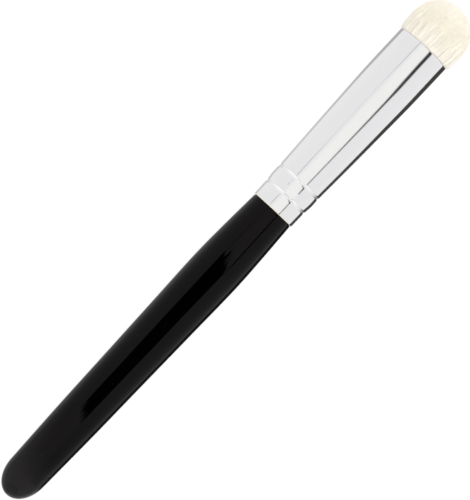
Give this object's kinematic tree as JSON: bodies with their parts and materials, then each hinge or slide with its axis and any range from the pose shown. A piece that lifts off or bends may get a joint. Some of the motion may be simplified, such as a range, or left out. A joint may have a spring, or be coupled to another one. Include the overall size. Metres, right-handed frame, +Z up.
{
  "type": "round stencil brush",
  "caption": "Round stencil brush: lacquered handle, tapered bright ferrule with rolled crimps, and a short soft dome of cream hair.",
  "frame": {"origin": "on the surface the brush lies on, below the middle of its length and on the plane of its axis", "axes": "+X along the brush from the butt of the handle to the tip of the hair, +Z up as it lies on its side"},
  "size_m": [0.16, 0.0158, 0.0158],
  "materials": {
    "black_lacquer": "gloss",
    "bright_plating": "polished",
    "goat_hair": "matte",
    "waxed_thread": "matte",
    "setting_resin": "gloss",
    "wood_glue": "satin"
  },
  "bodies": {
    "root": {"handle": "black_lacquer", "ferrule": "bright_plating", "hair_bundle": "goat_hair", "hair_binding": "waxed_thread", "root_adhesive": "setting_resin", "handle_adhesive": "wood_glue"}
  },
  "joints": []
}
